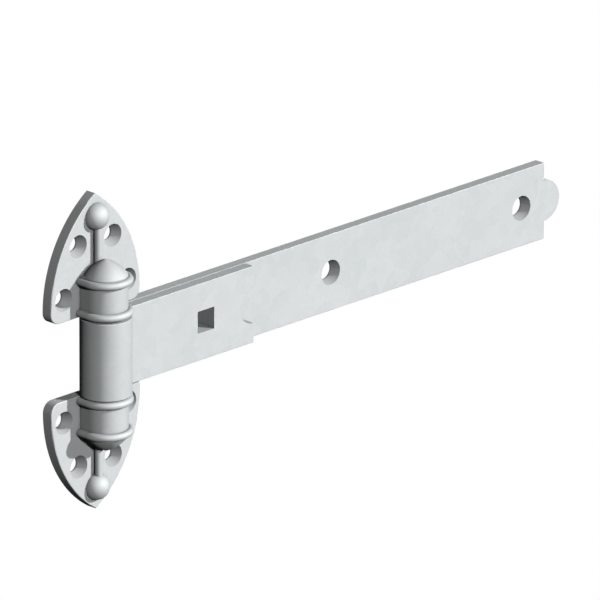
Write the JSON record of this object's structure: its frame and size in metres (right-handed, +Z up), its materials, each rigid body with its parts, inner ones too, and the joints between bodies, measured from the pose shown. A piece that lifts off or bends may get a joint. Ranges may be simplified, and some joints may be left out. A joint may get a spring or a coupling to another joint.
{
  "type": "t hinge",
  "caption": "Ornamental T-shaped gate hinge: a long flat band, rolled round a loose pin, swings between mirrored cast cup brackets with pointed plates, beads, domes and ball ends.",
  "frame": {"origin": "on the mounting plane, directly behind the pin's axis and halfway up the band; the centre of the four inner screw holes", "axes": "+X along the band away from the pin, +Y into the post that carries the hinge, +Z up along the pin"},
  "size_m": [0.3544, 0.0267, 0.1642],
  "materials": {
    "galvanised_casting": "hot-dip galvanised, fine cast texture, matt light grey",
    "galvanised_bar": "hot-dip galvanised over rolled bar, matt light grey",
    "pin_steel": "turned bright steel, lightly oiled"
  },
  "bodies": {
    "brackets": {"upper_cup_bracket": "galvanised_casting", "lower_cup_bracket": "galvanised_casting", "hinge_pin": "pin_steel"},
    "band": {"gate_band": "galvanised_bar"}
  },
  "joints": [
    {"name": "band_swing", "type": "hinge", "parent": "brackets", "child": "band", "pos_m": [0, -0.01308, 0], "axis": [0, 0, -1], "range_deg": [0, 180]}
  ]
}
